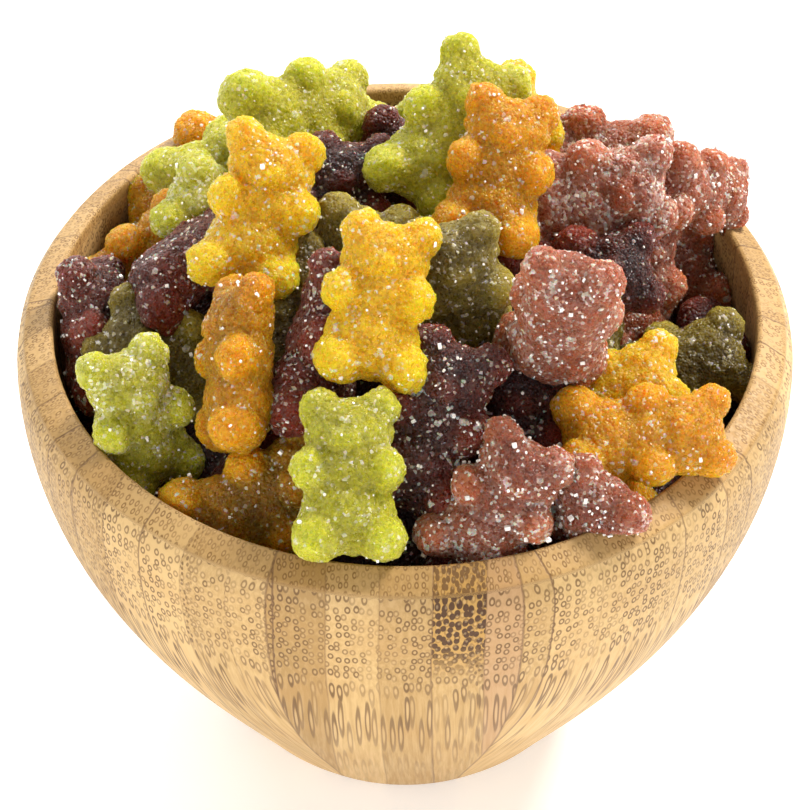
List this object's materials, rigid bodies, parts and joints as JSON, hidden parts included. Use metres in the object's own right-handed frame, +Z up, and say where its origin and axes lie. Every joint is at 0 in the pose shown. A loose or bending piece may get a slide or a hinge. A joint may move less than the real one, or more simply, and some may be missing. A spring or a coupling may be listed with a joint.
{
  "type": "bowl of sugared gummy bears",
  "caption": "Turned bamboo bowl with a flat foot and in-curving rim, heaped above the brim with sugar-coated fruit jelly bears in mixed colours.",
  "frame": {"origin": "centre of the flat foot of the bowl, on the surface it stands on", "axes": "+Z up along the bowl's turning axis; -Y towards the show side of the heap; +X to the right as seen from the show side"},
  "size_m": [0.11, 0.11, 0.1028],
  "materials": {
    "bamboo": "oiled laminated bamboo, satin",
    "gummy_amber": "translucent jelly under sugar",
    "gummy_yellow": "translucent jelly under sugar",
    "gummy_green": "translucent jelly under sugar",
    "gummy_purple": "translucent jelly under sugar",
    "sugar": "loose sugar crystals"
  },
  "bodies": {
    "root": {"bowl": "bamboo", "gummy_bears": "gummy_amber"}
  },
  "joints": []
}
